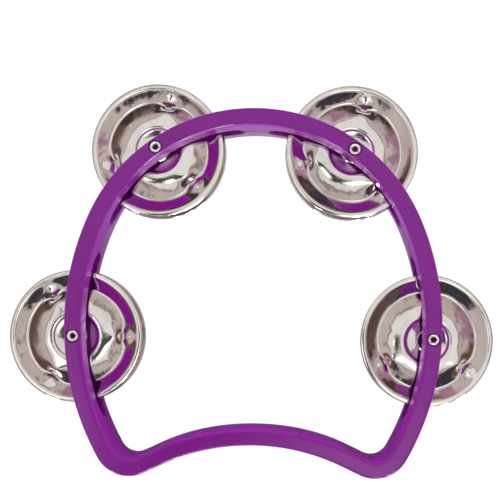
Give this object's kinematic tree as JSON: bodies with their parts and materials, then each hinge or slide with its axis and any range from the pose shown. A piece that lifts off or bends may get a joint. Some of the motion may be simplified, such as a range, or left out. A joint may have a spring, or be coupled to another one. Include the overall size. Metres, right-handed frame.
{
  "type": "hand tambourine",
  "caption": "Small cutaway hand tambourine: arched plastic ring with an inward-bowed handle and pairs of stamped metal jingles on rivets in its side slots.",
  "frame": {"origin": "on the plane the back face rests on, below the middle of the object's overall width and height", "axes": "+X across the ring to the right as seen from the front, +Y from the handle to the top of the arch, +Z through the ring's depth from the back face to the front face"},
  "size_m": [0.1859, 0.1501, 0.024],
  "materials": {
    "frame_plastic": "glossy moulded purple plastic with rounded edges",
    "jingle_steel": "bright plated stamped sheet, lightly uneven and worn",
    "rivet_metal": "bright plated tubular rivet"
  },
  "bodies": {
    "frame": {"frame_front": "frame_plastic", "frame_back": "frame_plastic"},
    "spindle_upper_left": {"rivet_upper_left": "rivet_metal"},
    "rear_jingle_upper_left": {"jingle_rear_upper_left": "jingle_steel"},
    "front_jingle_upper_left": {"jingle_front_upper_left": "jingle_steel"},
    "spindle_upper_right": {"rivet_upper_right": "rivet_metal"},
    "rear_jingle_upper_right": {"jingle_rear_upper_right": "jingle_steel"},
    "front_jingle_upper_right": {"jingle_front_upper_right": "jingle_steel"},
    "spindle_lower_left": {"rivet_lower_left": "rivet_metal"},
    "rear_jingle_lower_left": {"jingle_rear_lower_left": "jingle_steel"},
    "front_jingle_lower_left": {"jingle_front_lower_left": "jingle_steel"},
    "spindle_lower_right": {"rivet_lower_right": "rivet_metal"},
    "rear_jingle_lower_right": {"jingle_rear_lower_right": "jingle_steel"},
    "front_jingle_lower_right": {"jingle_front_lower_right": "jingle_steel"}
  },
  "joints": [
    {"name": "spin_upper_left", "type": "hinge", "parent": "frame", "child": "spindle_upper_left", "pos_m": [-0.03747, 0.04921, 0.012], "axis": [0, 0, 1], "continuous": true},
    {"name": "rear_slide_upper_left", "type": "slide", "parent": "spindle_upper_left", "child": "rear_jingle_upper_left", "axis": [0, 0, 1], "range_m": [0, 0.00065]},
    {"name": "front_slide_upper_left", "type": "slide", "parent": "rear_jingle_upper_left", "child": "front_jingle_upper_left", "axis": [0, 0, 1], "range_m": [0, 0.00065]},
    {"name": "spin_upper_right", "type": "hinge", "parent": "frame", "child": "spindle_upper_right", "pos_m": [0.03747, 0.04921, 0.012], "axis": [0, 0, 1], "continuous": true},
    {"name": "rear_slide_upper_right", "type": "slide", "parent": "spindle_upper_right", "child": "rear_jingle_upper_right", "axis": [0, 0, 1], "range_m": [0, 0.00065]},
    {"name": "front_slide_upper_right", "type": "slide", "parent": "rear_jingle_upper_right", "child": "front_jingle_upper_right", "axis": [0, 0, 1], "range_m": [0, 0.00065]},
    {"name": "spin_lower_left", "type": "hinge", "parent": "frame", "child": "spindle_lower_left", "pos_m": [-0.06773, -0.02201, 0.012], "axis": [0, 0, 1], "continuous": true},
    {"name": "rear_slide_lower_left", "type": "slide", "parent": "spindle_lower_left", "child": "rear_jingle_lower_left", "axis": [0, 0, 1], "range_m": [0, 0.00065]},
    {"name": "front_slide_lower_left", "type": "slide", "parent": "rear_jingle_lower_left", "child": "front_jingle_lower_left", "axis": [0, 0, 1], "range_m": [0, 0.00065]},
    {"name": "spin_lower_right", "type": "hinge", "parent": "frame", "child": "spindle_lower_right", "pos_m": [0.06773, -0.02201, 0.012], "axis": [0, 0, 1], "continuous": true},
    {"name": "rear_slide_lower_right", "type": "slide", "parent": "spindle_lower_right", "child": "rear_jingle_lower_right", "axis": [0, 0, 1], "range_m": [0, 0.00065]},
    {"name": "front_slide_lower_right", "type": "slide", "parent": "rear_jingle_lower_right", "child": "front_jingle_lower_right", "axis": [0, 0, 1], "range_m": [0, 0.00065]}
  ]
}
